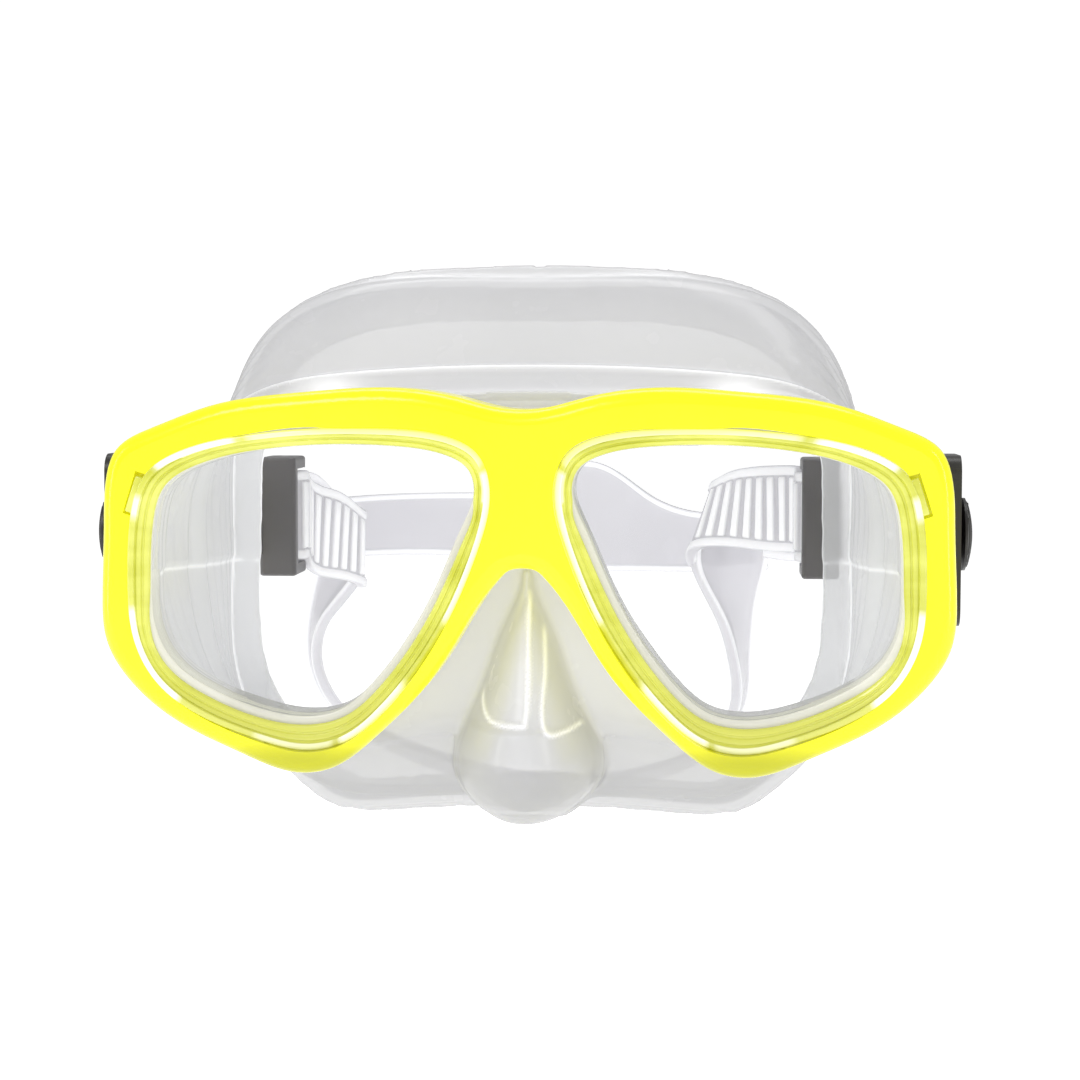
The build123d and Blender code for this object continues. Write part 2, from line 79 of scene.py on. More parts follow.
# Clear edge of the right window and the seam between its ring and the frame (x, z).
WINDOW_EDGE = [
    (36, 26.1), (24, 25.7), (14.8, 24.0), (10.6, 21.3), (9.5, 17.4), (11.7, 10.7), (16.8, -1),
    (22.8, -11.6), (30, -20.7), (35.4, -25.0), (41.5, -26.4), (49, -25.6), (60.5, -21.2),
    (68.2, -15.6), (71.4, -9.4), (72.1, 0), (71.4, 11.5), (69.2, 17.9), (63.2, 21.9), (50, 25.1),
]
SEAM_EDGE = [
    (38, 29.4), (26, 29.3), (15.2, 28.1), (8.4, 24.6), (6.0, 18.0), (8.0, 7), (13.6, -6.5),
    (19.2, -16), (27, -25.6), (34.6, -31.4), (42, -33.0), (51, -31.2), (62.5, -26.6),
    (71.2, -20.0), (75.6, -11.6), (76.7, 0), (76.0, 12.2), (73.2, 20.2), (65.5, 25.2), (52, 28.3),
]


# ---- small geometry helpers -----------------------------------------------------------
def smooth(low, high, value):
    """0 below low, 1 above high, and a smooth step between."""
    t = np.clip((np.asarray(value, float) - low) / (high - low), 0, 1)
    return t * t * (3 - 2 * t)


def bump_at(value, middle, width):
    """A bell of height 1 at the middle."""
    return np.exp(-(((np.asarray(value, float) - middle) / width) ** 2))


def spline(points, steps, closed=False):
    """Points on the smooth curve through the given ones, steps for each span."""
    knots = np.array(points, float)
    count = len(knots)
    spans = count if closed else count - 1
    chord = np.linalg.norm(np.roll(knots, -1, 0) - knots, axis=1)[:spans]
    system = np.zeros((count, count))
    pull = np.zeros_like(knots)
    for i in range(count):
        if not closed and i in (0, count - 1):
            system[i, i] = 1
            continue
        before, after = chord[i - 1], chord[i]
        nxt = (i + 1) % count
        system[i, i - 1] += before
        system[i, i] += 2 * (before + after)
        system[i, nxt] += after
        pull[i] = 6 * ((knots[nxt] - knots[i]) / after - (knots[i] - knots[i - 1]) / before)
    bend = np.linalg.solve(system, pull)
    result = []
    for i in range(spans):
        nxt, h = (i + 1) % count, chord[i]
        for step in range(steps):
            s = h * step / steps
            r = h - s
            result.append(
                (bend[i] * r**3 + bend[nxt] * s**3) / (6 * h)
                + (knots[i] / h - bend[i] * h / 6) * r + (knots[nxt] / h - bend[nxt] * h / 6) * s
            )
    if not closed:
        result.append(knots[-1])
    return np.array(result)


def evenly(path, spacing):
    """The same path with points at an even spacing."""
    runs = np.linalg.norm(np.diff(path, axis=0), axis=1)
    along = np.concatenate([[0], np.cumsum(runs)])
    count = max(2, int(round(along[-1] / spacing)) + 1)
    places = np.linspace(0, along[-1], count)
    return np.stack([np.interp(places, along, path[:, k]) for k in range(path.shape[1])], 1)


def shade_smooth(mesh):
    mesh.polygons.foreach_set("use_smooth", [True] * len(mesh.polygons))


def mesh_object(name, points, faces, material):
    """A smooth-shaded mesh object from points in millimetres."""
    mesh = bpy.data.meshes.new(name)
    mesh.from_pydata([tuple(p) for p in np.asarray(points, float) * MM], [], faces)
    mesh.materials.append(material)
    work = bmesh.new()
    work.from_mesh(mesh)
    bmesh.ops.recalc_face_normals(work, faces=work.faces)
    work.to_mesh(mesh)
    work.free()
    shade_smooth(mesh)
    piece = bpy.data.objects.new(name, mesh)
    bpy.context.scene.collection.objects.link(piece)
    return piece


def values_of(items, key, width, kind=float):
    """One row for each item of a mesh, such as its points or its edges."""
    flat = np.zeros(len(items) * width, kind)
    items.foreach_get(key, flat)
    return flat.reshape(-1, width)


def paint(piece, name, values):
    """Store one value for each point of the piece."""
    layer = piece.data.attributes.new(name, "FLOAT", "POINT")
    layer.data.foreach_set("value", np.asarray(values, np.float32))


def grid_faces(rows, columns, wrap_rows=False, wrap_columns=True):
    """Quads of a grid whose points run along the columns first."""
    faces = []
    for i in range(rows if wrap_rows else rows - 1):
        for j in range(columns if wrap_columns else columns - 1):
            a, b = i * columns + j, i * columns + (j + 1) % columns
            nxt = (i + 1) % rows * columns
            faces.append((a, b, nxt + (j + 1) % columns, nxt + j))
    return faces


def apply_modifiers(piece):
    """Replace the piece's mesh with what its modifiers make of it."""
    bpy.context.view_layer.update()
    graph = bpy.context.evaluated_depsgraph_get()
    made = bpy.data.meshes.new_from_object(piece.evaluated_get(graph))
    piece.modifiers.clear()
    piece.data = made
    return piece


def rounded(piece, width):
    """Bevel the sharp edges of a piece by width, in millimetres."""
    bevel = piece.modifiers.new("edges", "BEVEL")
    bevel.width = width * MM
    bevel.segments = 2
    bevel.limit_method = "ANGLE"
    bevel.angle_limit = radians(32)
    return apply_modifiers(piece)


def joined(name, pieces):
    """Several objects as one mesh object."""
    work = bmesh.new()
    for piece in pieces:
        work.from_mesh(piece.data)
    mesh = bpy.data.meshes.new(name)
    work.to_mesh(mesh)
    work.free()
    mesh.materials.append(pieces[0].data.materials[0])
    for piece in pieces:
        bpy.data.objects.remove(piece)
    result = bpy.data.objects.new(name, mesh)
    bpy.context.scene.collection.objects.link(result)
    return result


# ---- materials ------------------------------------------------------------------------
def new_material(name):
    """An empty node material and its node tree."""
    material = bpy.data.materials.new(name)
    material.use_nodes = True
    material.node_tree.nodes.clear()
    return material, material.node_tree


def make(tree, kind, inputs=(), **settings):
    """A shader node; an input given as a socket is linked, any other is set."""
    node = tree.nodes.new(kind)
    for key, value in settings.items():
        setattr(node, key, value)
    for key, value in dict(inputs).items():
        if isinstance(value, bpy.types.NodeSocket):
            tree.links.new(value, node.inputs[key])
        else:
            node.inputs[key].default_value = value
    return node


def noise(tree, scale, detail=3.0, stretch=(1, 1, 1)):
    """A noise value in the object's own coordinates; scale is per metre."""
    place = make(tree, "ShaderNodeTexCoord").outputs["Object"]
    mapped = make(tree, "ShaderNodeMapping", {"Vector": place, "Scale": stretch}).outputs[0]
    inputs = {"Vector": mapped, "Scale": scale, "Detail": detail}
    return make(tree, "ShaderNodeTexNoise", inputs).outputs["Fac"]


def ramp(tree, value, low, high, start, end):
    """start colour below low, end colour above high."""
    node = make(tree, "ShaderNodeValToRGB", {"Fac": value})
    node.color_ramp.elements[0].position = low
    node.color_ramp.elements[1].position = high
    node.color_ramp.elements[0].color = (*start, 1)
    node.color_ramp.elements[1].color = (*end, 1)
    return node.outputs["Color"]


def between(tree, value, low, high):
    """A number that runs from low to high as value runs from 0 to 1."""
    inputs = {"Value": value, "To Min": low, "To Max": high}
    return make(tree, "ShaderNodeMapRange", inputs).outputs["Result"]


def mixed(tree, factor, first, second):
    """A colour between two colours."""
    node = make(tree, "ShaderNodeMix", data_type="RGBA")
    for number, value in ((0, factor), (6, first), (7, second)):
        socket = node.inputs[number]
        if isinstance(value, bpy.types.NodeSocket):
            tree.links.new(value, socket)
        else:
            socket.default_value = value if isinstance(value, float) else (*value, 1)
    return node.outputs[2]


def height_factor(tree, low, high):
    """0 below the height low and 1 above high, in millimetres."""
    place = make(tree, "ShaderNodeTexCoord").outputs["Object"]
    z = make(tree, "ShaderNodeSeparateXYZ", {"Vector": place}).outputs["Z"]
    inputs = {"Value": z, "From Min": low * MM, "From Max": high * MM}
    return make(tree, "ShaderNodeMapRange", inputs, interpolation_type="SMOOTHSTEP").outputs["Result"]


def bump(tree, value, strength, distance=0.0001):
    """A normal that follows value as a relief; distance is in metres."""
    inputs = {"Height": value, "Strength": strength, "Distance": distance}
    return make(tree, "ShaderNodeBump", inputs).outputs["Normal"]


def attribute(tree, name):
    """A value painted on the mesh's points."""
    return make(tree, "ShaderNodeAttribute", attribute_name=name).outputs["Fac"]


def finish_material(tree, shader):
    """Link the shader to the material's output."""
    output = make(tree, "ShaderNodeOutputMaterial")
    tree.links.new(shader, output.inputs["Surface"])


def through(tree, shader, factor, tint):
    """The shader with a share of the light passing straight through it."""
    clear = make(tree, "ShaderNodeBsdfTransparent", {"Color": (*tint, 1)}).outputs[0]
    return make(tree, "ShaderNodeMixShader", {0: factor, 1: shader, 2: clear}).outputs[0]


def frame_plastic():
    """Glossy fluorescent yellow with a faint painted glow, a little deeper and greener low on the
    lobes.
    """
    material, tree = new_material("frame_yellow_plastic")
    cloud = noise(tree, 22, 2)
    body = ramp(tree, cloud, 0.35, 0.65, (1.0, 0.95, 0.001), (1.0, 0.98, 0.006))
    low = height_factor(tree, -35, -28)
    colour = mixed(tree, low, (0.5, 0.5, 0.003), body)
    # Painted glow: Emission Strength 0.12 lifts the yellow evenly, as if lit from within.
    shader = make(tree, "ShaderNodeBsdfPrincipled", {
        "Base Color": colour, "Roughness": between(tree, noise(tree, 160), 0.16, 0.3),
        "Normal": bump(tree, noise(tree, 420, 4), 0.06), "Emission Color": colour,
        "Emission Strength": 0.12, "Coat Weight": 0.35, "Coat Roughness": 0.06,
        "Specular IOR Level": 0.4,
    })
    finish_material(tree, shader.outputs[0])
    return material


def ring_plastic():
    """Clear yellow plastic with a painted glow, white where painted highlights lie on its outer bead.
    """
    material, tree = new_material("ring_clear_yellow_plastic")
    body = ramp(tree, noise(tree, 60, 3, (1, 1, 3)), 0.3, 0.7, (0.60, 0.62, 0.055), (0.80, 0.82, 0.17))
    low = height_factor(tree, -28, -14)
    body = mixed(tree, low, (0.66, 0.67, 0.12), body)
    # Painted highlight: the colour turns white where the gleam attribute is set.
    colour = mixed(tree, attribute(tree, "painted_gleam"), body, (1.0, 1.0, 0.90))
    # Painted glow: emission from 0.14, rising to 0.34 on the painted highlights.
    shader = make(tree, "ShaderNodeBsdfPrincipled", {
        "Base Color": colour, "Roughness": between(tree, noise(tree, 220), 0.08, 0.2),
        "Normal": bump(tree, noise(tree, 300, 3), 0.05), "Emission Color": colour,
        "Emission Strength": between(tree, attribute(tree, "painted_gleam"), 0.14, 0.34),
        "Coat Weight": 0.8, "Coat Roughness": 0.04,
    })
    finish_material(tree, through(tree, shader.outputs[0], 0.1, (1.0, 1.0, 0.6)))
    return material


def silicone(name, tone, painted_highlight_tone, clear_face, clear_edge, glow, low_share=1.0):
    """Milky silicone: clearer where it faces the viewer, denser at a grazing angle, where painted
    shade also darkens it.

    'gleam' on the mesh is a painted highlight towards the highlight tone; 'veil' makes it dense and
    adds a painted glow. glow is an even painted glow, and low_share darkens its lowest part.
    """
    material, tree = new_material(name)
    cloud = noise(tree, 30, 4)
    painted_gleam = attribute(tree, "painted_gleam")
    colour = ramp(tree, cloud, 0.3, 0.7, tuple(c * 0.95 for c in tone), tone)
    if low_share < 1:
        colour = mixed(tree, height_factor(tree, -34, -16), tuple(c * low_share for c in tone), colour)
    facing = make(tree, "ShaderNodeLayerWeight", {"Blend": 0.35}).outputs["Facing"]
    # Painted highlight: where the gleam attribute is set the colour turns to the highlight tone.
    colour = mixed(tree, painted_gleam, colour, painted_highlight_tone)
    # Painted shade: the colour darkens towards half its tone at a grazing angle, drawing dark
    # outlines.
    outline = make(tree, "ShaderNodeMath", {0: facing, 1: 0.45}, operation="MULTIPLY").outputs[0]
    colour = mixed(tree, outline, colour, tuple(c * 0.5 for c in tone))
    veil_and_painted_glow = attribute(tree, "veil_and_painted_glow")
    grain = bump(tree, noise(tree, 500, 5), 0.05)
    # Painted glow: emission of glow everywhere, up to 0.36 more on the painted highlights and up to
    # 0.4 more under the veil.
    glows = {0: between(tree, painted_gleam, glow, glow + 0.36), 1: between(tree, veil_and_painted_glow, 0, 0.4)}
    strength = make(tree, "ShaderNodeMath", glows, operation="ADD")
    shader = make(tree, "ShaderNodeBsdfPrincipled", {
        "Base Color": colour, "Roughness": between(tree, noise(tree, 90), 0.16, 0.34),
        "Normal": grain, "Emission Color": colour, "Emission Strength": strength.outputs[0],
        "Specular IOR Level": 0.5, "Coat Weight": 0.45, "Coat Roughness": 0.08,
    }).outputs[0]
    lit = make(tree, "ShaderNodeBsdfTranslucent", {"Color": colour, "Normal": grain}).outputs[0]
    shader = make(tree, "ShaderNodeMixShader", {0: 0.35, 1: shader, 2: lit}).outputs[0]
    clear = between(tree, facing, clear_face, clear_edge)
    solid = make(tree, "ShaderNodeMath", {0: painted_gleam, 1: veil_and_painted_glow}, operation="MAXIMUM")
    share = between(tree, solid.outputs[0], 1.0, 0.12)
    factor = make(tree, "ShaderNodeMath", {0: clear, 1: share}, operation="MULTIPLY").outputs[0]
    finish_material(tree, through(tree, shader, factor, (0.985, 0.985, 0.99)))
    return material


def lens_glass():
    """Tempered glass: nearly all light passes, with a faint reflection."""
    material, tree = new_material("lens_glass_clear")
    gloss = make(tree, "ShaderNodeBsdfGlossy", {
        "Roughness": between(tree, noise(tree, 40), 0.01, 0.04),
        "Normal": bump(tree, noise(tree, 60, 1), 0.01),
    }).outputs[0]
    clear = make(tree, "ShaderNodeBsdfTransparent", {"Color": (0.995, 1.0, 0.998, 1)}).outputs[0]
    fresnel = make(tree, "ShaderNodeFresnel", {"IOR": 1.3}).outputs[0]
    share = make(tree, "ShaderNodeMath", {0: fresnel, 1: 0.35}, operation="MULTIPLY").outputs[0]
    finish_material(tree, make(tree, "ShaderNodeMixShader", {0: share, 1: clear, 2: gloss}).outputs[0])
    return material


def moulded_plastic(name, dark, light, rough):
    """Dark moulded plastic with a fine spark texture."""
    material, tree = new_material(name)
    speck = noise(tree, 900, 4)
    colour = mixed(tree, noise(tree, 55, 3), dark, light)
    shader = make(tree, "ShaderNodeBsdfPrincipled", {
        "Base Color": colour, "Roughness": between(tree, speck, *rough),
        "Normal": bump(tree, speck, 0.25, 0.00006), "Coat Weight": 0.15, "Coat Roughness": 0.3,
    })
    finish_material(tree, shader.outputs[0])
    return material


def brushed_steel():
    """Bare steel with fine upright brush marks."""
    material, tree = new_material("steel_brushed")
    streak = noise(tree, 700, 3, (1, 1, 0.08))
    shader = make(tree, "ShaderNodeBsdfPrincipled", {
        "Base Color": mixed(tree, streak, (0.55, 0.55, 0.56), (0.75, 0.75, 0.77)), "Metallic": 1.0,
        "Roughness": between(tree, streak, 0.2, 0.4), "Normal": bump(tree, streak, 0.15, 0.00003),
    })
    finish_material(tree, shader.outputs[0])
    return material


def floor_paint():
    """Plain pale floor, a little self-lit so that it stays near white."""
    material, tree = new_material("pale_floor")
    colour = mixed(tree, noise(tree, 3, 2), (0.93, 0.93, 0.93), (0.95, 0.95, 0.95))
    shader = make(tree, "ShaderNodeBsdfPrincipled", {
        "Base Color": colour, "Roughness": 0.9, "Specular IOR Level": 0.0,
        "Emission Color": (1, 1, 1, 1), "Emission Strength": 0.58,
    })
    finish_material(tree, shader.outputs[0])
    return material


YELLOW = frame_plastic()
RING = ring_plastic()
# Arguments: tone, painted highlight tone, clearness facing and at a grazing angle, painted glow,
# darker share low down.
SKIRT = silicone("clear_silicone_skirt", (0.72, 0.72, 0.733), (0.98, 0.98, 1), 0.5, 0.1, 0.16, 0.84)
LIP = silicone("clear_silicone_lip", (0.92, 0.91, 0.82), (1, 1, 0.95), 0.3, 0.1, 0.25)
STRAP = silicone("strap_silicone_white", (0.80, 0.79, 0.825), (0.98, 0.98, 0.99), 0.14, 0.03, 0.15)
GLASS = lens_glass()
GREY = moulded_plastic(
    "buckle_grey_plastic", (0.105, 0.099, 0.102), (0.135, 0.128, 0.132), (0.38, 0.55)
)
BLACK = moulded_plastic(
    "lever_black_plastic", (0.012, 0.011, 0.009), (0.024, 0.022, 0.02), (0.32, 0.5)
)
ROLLER_GREY = moulded_plastic(
    "roller_light_plastic", (0.3, 0.3, 0.31), (0.38, 0.38, 0.4), (0.3, 0.45)
)
STEEL = brushed_steel()


def paint_cad_nodes():
    """Give each CAD node that stays its finished material."""
    finishes = {"main_frame": YELLOW}
    for side, _ in SIDES:
        finishes.update({
            f"lens_{side}": GLASS, f"side_plate_{side}": BLACK, f"swivel_post_{side}": GREY,
            f"buckle_body_{side}": GREY, f"release_lever_{side}": BLACK, f"lever_pin_{side}": STEEL,
            f"lever_spring_{side}": STEEL, f"strap_roller_{side}": ROLLER_GREY,
            f"roller_axle_{side}": STEEL,
        })
    for name, material in finishes.items():
        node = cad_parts[name]
        for slot in node.material_slots:
            slot.material = material


# ---- rings round the lenses -------------------------------------------------------------
RING_STEPS = 12
# Ring section: (share of the way from window to seam, millimetres further out, y).
RING_SECTION = [
    (0, 0.15, LENS_Y - 0.9), (0, 0.15, LENS_Y - 1.35), (0, 0.5, LENS_Y - 1.75),
    (0.28, 0.0, LENS_Y - 1.95), (0.3, 0.05, LENS_Y - 1.6), (0.34, 0.2, LENS_Y - 1.6),
    (0.37, 0.25, LENS_Y - 2.0), (0.6, 0, LENS_Y - 2.15), (0.62, 0.05, LENS_Y - 1.85),
    (0.66, 0.1, LENS_Y - 2.2), (1, -1.55, LENS_Y - 2.4), (1, -1.4, LENS_Y - 2.75),
    (1, -0.4, LENS_Y - 2.6), (1, -0.14, LENS_Y - 2.2), (1, -0.14, LENS_Y + 5.9),
    (0, 2.5, LENS_Y + 5.9), (0, 2.5, LENS_Y - 0.9),
]
LIP_SECTION = [
    (0.05, LENS_Y - 0.05), (0.0, LENS_Y - 0.45), (0.12, LENS_Y - 0.7), (0.5, LENS_Y - 0.85),
    (1.0, LENS_Y - 0.85), (1.12, LENS_Y - 0.8), (2.35, LENS_Y - 0.8), (2.42, LENS_Y + 3.6),
    (2.3, FRAME_BACK - 1.0), (0.9, FRAME_BACK - 0.8), (0.1, LENS_Y + 6.0), (0.0, LENS_Y + 3.4),
    (1.55, LENS_Y + 3.25), (1.62, LENS_Y - 0.02),
]
# Where painted highlights lie on the ring's outer bead: from and to, counted in points of WINDOW_EDGE,
# and how much.
PAINTED_GLEAMS = [
    (-1.2, 3.4, 0.55), (3.4, 6.3, 1.0), (7.35, 9.2, 0.95), (9.2, 11.2, 0.5), (12.4, 14.6, 1.0),
    (15.9, 16.6, 0.75), (17.2, 18.8, 1.0),
]


def outline_pair(side):
    """Matching points on the window's edge and on the seam, and the way out between them."""
    inner = spline(WINDOW_EDGE, RING_STEPS, closed=True) * (side, 1)
    outer = spline(SEAM_EDGE, RING_STEPS, closed=True) * (side, 1)
    out = outer - inner
    return inner, outer, out / np.linalg.norm(out, axis=1)[:, None]


def painted_gleam_round(place, count):
    """How strong the painted highlight on the outer bead is at a place counted in points of the
    outline.
    """
    total = 0.0
    for start, end, amount in PAINTED_GLEAMS:
        for turn in (0, count):
            total = max(total, amount * smooth(start, start + 0.2, place - turn)
                        * (1 - smooth(end - 0.2, end, place - turn)))
    return total


def ring_mesh(name, inner, outer, out, section, material, tuck=0.0):
    """A closed ring with the given section; tuck opens it wider at the outer lower side."""
    points, painted_gleams = [], []
    for k, (a, b, way) in enumerate(zip(inner, outer, out)):
        gap = np.linalg.norm(b - a)
        painted_gleam = painted_gleam_round(k / RING_STEPS, len(WINDOW_EDGE))
        low = smooth(0.1, 0.8, -way[1] + 0.35 * abs(way[0]) - 0.3)
        for share, further, y in section:
            extra = tuck * low * (1 - share) if share < 0.7 else 0.0
            x, z = a + (b - a) * share + way * (further + extra)
            points.append((x, y, z))
            from_seam = gap * (1 - share) - further
            # Painted highlight: on the front, within 1.5 mm of the seam.
            painted_gleams.append(painted_gleam if from_seam < 1.5 and y < LENS_Y else 0.0)
    piece = mesh_object(name, points, grid_faces(len(inner), len(section), wrap_rows=True), material)
    paint(piece, "painted_gleam", painted_gleams)
    return rounded(piece, 0.08)


# Snap tabs on the ring: x, z and the turn in degrees.
SNAP_TABS = [(53.6, -30.6, 22), (12.4, -4.2, -64), (75.0, 16.4, -72)]
SNAP_SIZE = (7.2, 4.6, 1.9)
SNAP_EDGE = 0.35


def snap_tab(x, z, turn, side):
    """The block of a snap tab on the ring's outer edge."""
    work = bmesh.new()
    bmesh.ops.create_cube(work, size=1.0)
    size = Matrix.Diagonal((*(width * MM for width in SNAP_SIZE), 1))
    place = Matrix.Translation((side * x * MM, (LENS_Y + 0.2) * MM, z * MM))
    work.transform(place @ Matrix.Rotation(-side * radians(turn), 4, "Y") @ size)
    bmesh.ops.bevel(
        work, geom=list(work.edges), offset=SNAP_EDGE * MM, segments=2, affect="EDGES", profile=0.6
    )
    mesh = bpy.data.meshes.new("snap_tab")
    work.to_mesh(mesh)
    work.free()
    mesh.materials.append(RING)
    return bpy.data.objects.new("snap_tab", mesh)


def build_rings():
    """The clear yellow ring with its snap tabs and the lens cup's edge, on each side."""
    for name, side in SIDES:
        inner, outer, out = outline_pair(side)
        ring = ring_mesh(f"ring_{name}", inner, outer, out, RING_SECTION, RING, tuck=1.5)
        tabs = [snap_tab(x, z, turn, side) for x, z, turn in SNAP_TABS]
        whole = joined(f"lens_ring_shell_{name}", [ring, *tabs])
        shade_smooth(whole.data)
        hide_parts(f"lens_ring_{name}")
        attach(whole, "mask")
        section = [(0, further, y) for further, y in LIP_SECTION]
        lip = ring_mesh(f"lens_cup_{name}", inner, outer, out, section, LIP)
        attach(lip, "mask")


# ---- skirt ------------------------------------------------------------------------------
VOXEL = 0.62
FACE_R = 270.0
FACE_TILT = 0.07
SKIRT_MID_Z = 2
FOLD_Y = -12.6  # crest of the wall's fold
SEAT_Y = -25.4  # crest of the bead behind the frame
RELAX_WHOLE = 8  # rounds of relaxing for the whole skirt, its normals and its edge
RELAX_NORMALS = 4
RELAX_RIM = 6
RIM_PLACES = 360  # places round the edge at which its outline is measured
RIM_REACH = 9  # how many places on each side the edge is evened over


def relaxed(points, edges, rounds):
    """Points moved half the way to the middle of their neighbours, several times."""
    count = np.zeros(len(points))
    np.add.at(count, edges[:, 0], 1)
    np.add.at(count, edges[:, 1], 1)
    for _ in range(rounds):
        total = np.zeros_like(points)
        np.add.at(total, edges[:, 0], points[edges[:, 1]])
        np.add.at(total, edges[:, 1], points[edges[:, 0]])
        points = points + 0.5 * (total / count[:, None] - points)
    return points


def near_line(x, z, line, width):
    """1 on a line through the given points (x, z), falling off to the sides."""
    path = spline(line, 10)
    away = np.full(len(x), 99.0)
    for (x0, z0), (x1, z1) in zip(path[:-1], path[1:]):
        length = max((x1 - x0) ** 2 + (z1 - z0) ** 2, 1e-9)
        t = np.clip(((x - x0) * (x1 - x0) + (z - z0) * (z1 - z0)) / length, 0, 1)
        away = np.minimum(away, np.hypot(x - x0 - t * (x1 - x0), z - z0 - t * (z1 - z0)))
    return np.exp(-((away / width) ** 2))


# Creases on the front of the nose pocket (x, z), pressed in and also drawn as painted highlight lines.
NOSE_CREASES = [
    [(-8.5, -22), (-7.9, -24.9), (-6.2, -26.8), (-3.1, -27.3), (0.3, -27.4)],
    [(0.9, -2.5), (0.9, -12.7), (1.1, -22.9), (0.6, -27.4)],
    [(2.4, 0.6), (3.2, -3), (3.8, -10.8), (4.1, -18.4), (3.8, -25), (5.2, -29), (8, -28.9), (11, -28)],
    [(11, -28), (15.0, -29.0), (19.4, -28.8)],
]


def behind_face(points):
    """How far each point lies behind the curved surface that the skirt's edge follows."""
    x, y, z = points.T
    return y - (x**2 / (2 * FACE_R) + z * FACE_TILT)


def reach_and_way(points):
    """Each point's distance from the skirt's middle line, and the way out from that line."""
    x, _, z = points.T
    away = np.stack([x, np.zeros_like(x), z - SKIRT_MID_Z], 1)
    reach = np.hypot(x, z - SKIRT_MID_Z)
    return reach, away / np.maximum(reach, 1)[:, None]


def even_rim(points):
    """The same points, with the outline of the skirt's edge made even."""
    reach, outwards = reach_and_way(points)
    turn = (np.arctan2(outwards[:, 2], outwards[:, 0]) + pi) / tau * RIM_PLACES
    behind = behind_face(points)
    edge = np.zeros(RIM_PLACES)
    last = behind > -1.5
    np.maximum.at(edge, turn[last].astype(int) % RIM_PLACES, reach[last])
    window = np.hanning(2 * RIM_REACH + 1)
    around = np.concatenate([edge[-RIM_REACH:], edge, edge[:RIM_REACH]])
    change = np.convolve(around, window / window.sum(), "valid") - edge
    change = np.interp(turn - 0.5, np.arange(RIM_PLACES), change, period=RIM_PLACES)
    change *= smooth(-3.2, -1.6, behind) * smooth(22, 30, reach)
    return points + outwards * change[:, None]


def skirt_shape(points, normals):
    """How far each point moves for folds, beads and creases, with its painted highlights and its veil,
    which is dense and carries a painted glow.
    """
    x, y, z = points.T
    reach, outwards = reach_and_way(points)
    wall = smooth(22, 30, reach)
    facing_out = (normals * outwards).sum(1)
    behind = behind_face(points)
    outer = smooth(-0.1, 0.3, facing_out)
    fold = 1.1 * bump_at(y, FOLD_Y, 0.9) - 1.0 * bump_at(y, FOLD_Y + 2.2, 1.3)
    fold += 0.6 * bump_at(y, SEAT_Y, 0.7) - 0.4 * bump_at(y, SEAT_Y + 1.8, 1.0)
    rim = outer * (0.4 * bump_at(behind, -0.5, 0.7) - 0.45 * bump_at(behind, -2.6, 0.9))
    streak = 0.1 * np.sin(2.1 * y + 1.7 * np.sin(0.11 * z)) * smooth(50, 60, abs(x))
    step = 0.5 * smooth(-0.4, 0.4, 1.0 - z) * smooth(52, 60, abs(x)) * (1 - outer)
    shift = (wall * (fold + rim + streak + step))[:, None] * outwards

    front = smooth(-29, -32, y) * smooth(0.0, 0.3, -normals[:, 1]) * (1 - smooth(15, 20, abs(x)))
    crease = np.zeros(len(x))
    near = np.flatnonzero(front > 0.01)
    for line in NOSE_CREASES:
        crease[near] = np.maximum(crease[near], near_line(x[near], z[near], line, 0.45))
    under = smooth(27.6, 29.0, -z) * (1 - smooth(1.5, 3.5, abs(x - 2.2)) * smooth(-0.5, 0.5, 27.0 + z))
    shift[:, 1] -= front * (0.55 * crease + 0.9 * under)

    # Painted highlights: white lines along the nose creases, the opening's inner edge, the fold and
    # seat beads and the rim, a wedge at the fold's ends and a line at the side step.
    top = smooth(20, 30, z)
    inner_edge_highlight = smooth(0.55, 0.85, -facing_out) * smooth(-3.4, -2.6, behind) * wall
    line = top * outer * (0.95 * bump_at(y, FOLD_Y + 0.2, 0.5) + 0.8 * bump_at(y, SEAT_Y, 0.45))
    wedge_highlight = outer * smooth(24, 32, z) * bump_at(abs(x), 41, 7) * bump_at(y, FOLD_Y - 1.9, 2.4)
    painted_gleam = np.maximum.reduce([
        front * crease, inner_edge_highlight, line, 0.9 * wedge_highlight, 0.5 * outer * bump_at(behind, -2.4, 0.4) * top,
        0.55 * (1 - outer) * smooth(56, 62, abs(x)) * bump_at(z, 0.4, 0.35) * wall,
    ])
    # The veil: dense side walls that hide the buckle arms, with a painted glow.
    veil_and_painted_glow_start = np.where(x < 0, 56.5, 62.3)
    veil_and_painted_glow = 0.9 * smooth(0, 2, abs(x) - veil_and_painted_glow_start) * (1 - smooth(22, 30, z)) * wall
    return shift, painted_gleam, veil_and_painted_glow


